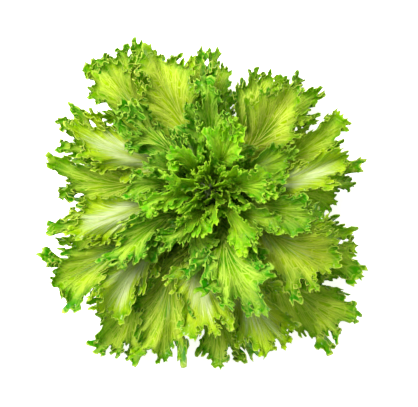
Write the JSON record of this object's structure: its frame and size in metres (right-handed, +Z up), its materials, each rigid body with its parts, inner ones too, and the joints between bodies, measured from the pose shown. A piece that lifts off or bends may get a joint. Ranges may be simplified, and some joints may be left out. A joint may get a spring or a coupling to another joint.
{
  "type": "crystal lettuce head",
  "caption": "Whole head of frilly crystal lettuce, cut at the stem: whorls of broad fan-shaped leaves with curled, toothed margins around a short butt.",
  "frame": {"origin": "middle of the flat cut at the bottom of the stem, where the head stands", "axes": "+Z up along the stem's axis; +Y towards the top of the picture, which looks straight down on the head; +X to its right"},
  "size_m": [0.2783, 0.2835, 0.1247],
  "materials": {
    "leaf_outer": "fresh outer leaf: mid green, darker towards the frilled margin, pale veins, soft waxy sheen, lets light through",
    "leaf_inner": "fresh inner leaf: yellow green, pale veins, soft waxy sheen, lets light through",
    "leaf_heart": "tightly curled heart leaf: bright rims and dark green folds, soft waxy sheen, lets light through",
    "stem": "pale yellow green butt with a moist off-white cut face"
  },
  "bodies": {
    "root": {"stem": "stem", "leaf_outer_1": "leaf_outer", "leaf_outer_2": "leaf_outer", "leaf_outer_3": "leaf_outer", "leaf_outer_4": "leaf_outer", "leaf_outer_5": "leaf_outer", "leaf_outer_6": "leaf_outer", "leaf_outer_7": "leaf_outer", "leaf_outer_8": "leaf_outer", "leaf_outer_9": "leaf_outer", "leaf_skirt_1": "leaf_outer", "leaf_skirt_2": "leaf_outer", "leaf_skirt_3": "leaf_outer", "leaf_skirt_4": "leaf_outer", "leaf_skirt_5": "leaf_outer", "leaf_skirt_6": "leaf_outer", "leaf_skirt_7": "leaf_outer", "leaf_skirt_8": "leaf_outer", "leaf_skirt_9": "leaf_outer", "leaf_face_1": "leaf_outer", "leaf_face_2": "leaf_outer", "leaf_face_3": "leaf_outer", "leaf_face_4": "leaf_outer", "leaf_face_5": "leaf_outer", "leaf_face_6": "leaf_outer", "leaf_face_7": "leaf_outer", "leaf_face_8": "leaf_outer", "leaf_mid_1": "leaf_inner", "leaf_mid_2": "leaf_inner", "leaf_mid_3": "leaf_inner", "leaf_mid_4": "leaf_inner", "leaf_mid_5": "leaf_inner", "leaf_mid_6": "leaf_inner", "leaf_mid_7": "leaf_inner", "leaf_crown_1": "leaf_inner", "leaf_crown_2": "leaf_inner", "leaf_crown_3": "leaf_inner", "leaf_crown_4": "leaf_inner", "leaf_crown_5": "leaf_inner", "leaf_crown_6": "leaf_inner", "leaf_crown_7": "leaf_inner", "leaf_inner_1": "leaf_heart", "leaf_inner_2": "leaf_heart", "leaf_inner_3": "leaf_heart", "leaf_inner_4": "leaf_heart", "leaf_inner_5": "leaf_heart", "leaf_inner_6": "leaf_heart", "leaf_heart_1": "leaf_heart", "leaf_heart_2": "leaf_heart", "leaf_heart_3": "leaf_heart", "leaf_heart_4": "leaf_heart", "leaf_heart_5": "leaf_heart", "leaf_heart_6": "leaf_heart", "leaf_bud_1": "leaf_heart", "leaf_bud_2": "leaf_heart", "leaf_bud_3": "leaf_heart", "leaf_bud_4": "leaf_heart"}
  },
  "joints": []
}
